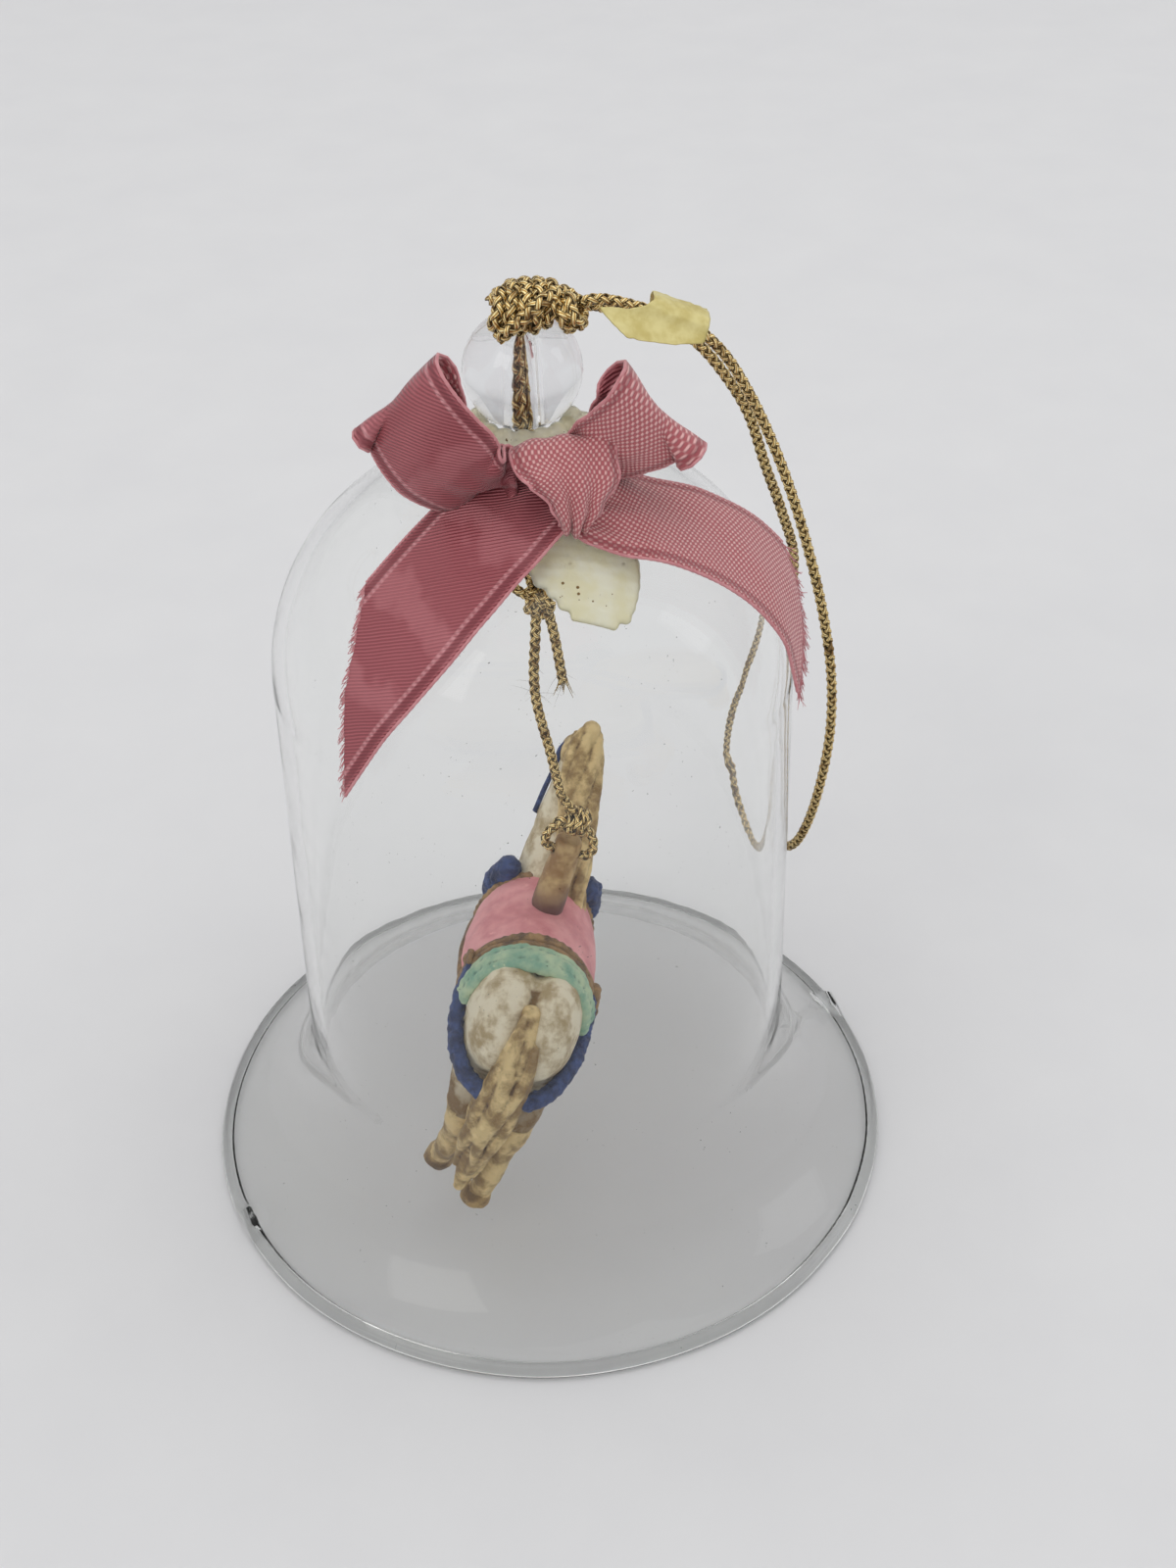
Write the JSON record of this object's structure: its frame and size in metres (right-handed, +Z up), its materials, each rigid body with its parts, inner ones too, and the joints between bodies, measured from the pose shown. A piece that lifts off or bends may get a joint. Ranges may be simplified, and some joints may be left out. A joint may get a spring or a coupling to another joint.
{
  "type": "glass bell ornament",
  "caption": "Clear glass bell with a satin bow, a bead and gold cord loop on top, and a cast carousel horse hung inside as its clapper.",
  "frame": {"origin": "centre of the rim, on the surface that the bell stands on", "axes": "+Z up along the bell axis, -Y towards the bow at the front, +X to the right of it"},
  "size_m": [0.07, 0.07, 0.0955],
  "materials": {
    "clear_glass": "clear blown glass with a faint green tint",
    "clear_acrylic": "clear polished plastic bead",
    "gold_cord": "metallic gold thread braided with brown",
    "gold_foil": "thin yellow-gold foil sticker, blank",
    "hot_glue": "set hot glue, pale yellow, cloudy, with bubbles",
    "pink_satin": "satin ribbon, glossy face and matte woven back",
    "tan_resin": "cast resin, tan-gold wash over brown hollows",
    "cream_resin": "cast resin, cream, lightly antiqued",
    "pink_paint": "painted resin, dusty pink",
    "teal_paint": "painted resin, pale teal",
    "brown_paint": "painted resin, brown with gold highlights",
    "blue_paint": "painted resin, dark blue"
  },
  "bodies": {
    "bell": {"glass_bell": "clear_glass", "bead": "clear_acrylic", "top_knot": "gold_cord", "core_cord": "gold_cord", "neck_glue": "hot_glue", "bow_glue": "hot_glue", "bow_loop_left": "pink_satin", "bow_loop_right": "pink_satin", "bow_tail_left": "pink_satin", "bow_tail_right": "pink_satin", "bow_knot": "pink_satin"},
    "loop": {"hanging_loop": "gold_cord", "foil_label": "gold_foil"},
    "neck_cord": {"neck_cord": "gold_cord"},
    "inner_knot": {"inner_knot": "gold_cord"},
    "drop_cord": {"drop_cord": "gold_cord", "cord_tail": "gold_cord", "pole_knot": "gold_cord"},
    "horse": {"pole_stub": "tan_resin", "horse_body": "cream_resin", "horse_head": "tan_resin", "foreleg_left": "cream_resin", "foreleg_right": "cream_resin", "hind_leg_left": "cream_resin", "hind_leg_right": "cream_resin", "mane": "tan_resin", "tail": "tan_resin", "saddle": "pink_paint", "blanket_roll": "teal_paint", "girth_strap": "brown_paint", "breeching_strap": "blue_paint", "collar_strap": "blue_paint"}
  },
  "joints": [
    {"name": "loop_lift", "type": "hinge", "parent": "bell", "child": "loop", "pos_m": [0.0003, 0, 0.0923], "axis": [0, -1, 0], "range_deg": [0, 90]},
    {"name": "clapper_twist", "type": "hinge", "parent": "bell", "child": "neck_cord", "pos_m": [0, 0, 0.0759], "axis": [0, 0, 1], "continuous": true},
    {"name": "clapper_swing_fore", "type": "hinge", "parent": "neck_cord", "child": "inner_knot", "pos_m": [0.0006, 0, 0.0662], "axis": [0.9962, -0.0872, 0], "range_deg": [-0.8, 1.2]},
    {"name": "clapper_swing_side", "type": "hinge", "parent": "inner_knot", "child": "drop_cord", "pos_m": [0.0006, 0, 0.065], "axis": [0.0872, 0.9962, 0], "range_deg": [-7, 2]},
    {"name": "horse_rock", "type": "hinge", "parent": "drop_cord", "child": "horse", "pos_m": [0.0025, 0, 0.0361], "axis": [0.9527, -0.0833, -0.2924], "range_deg": [-2, 4.5]}
  ]
}
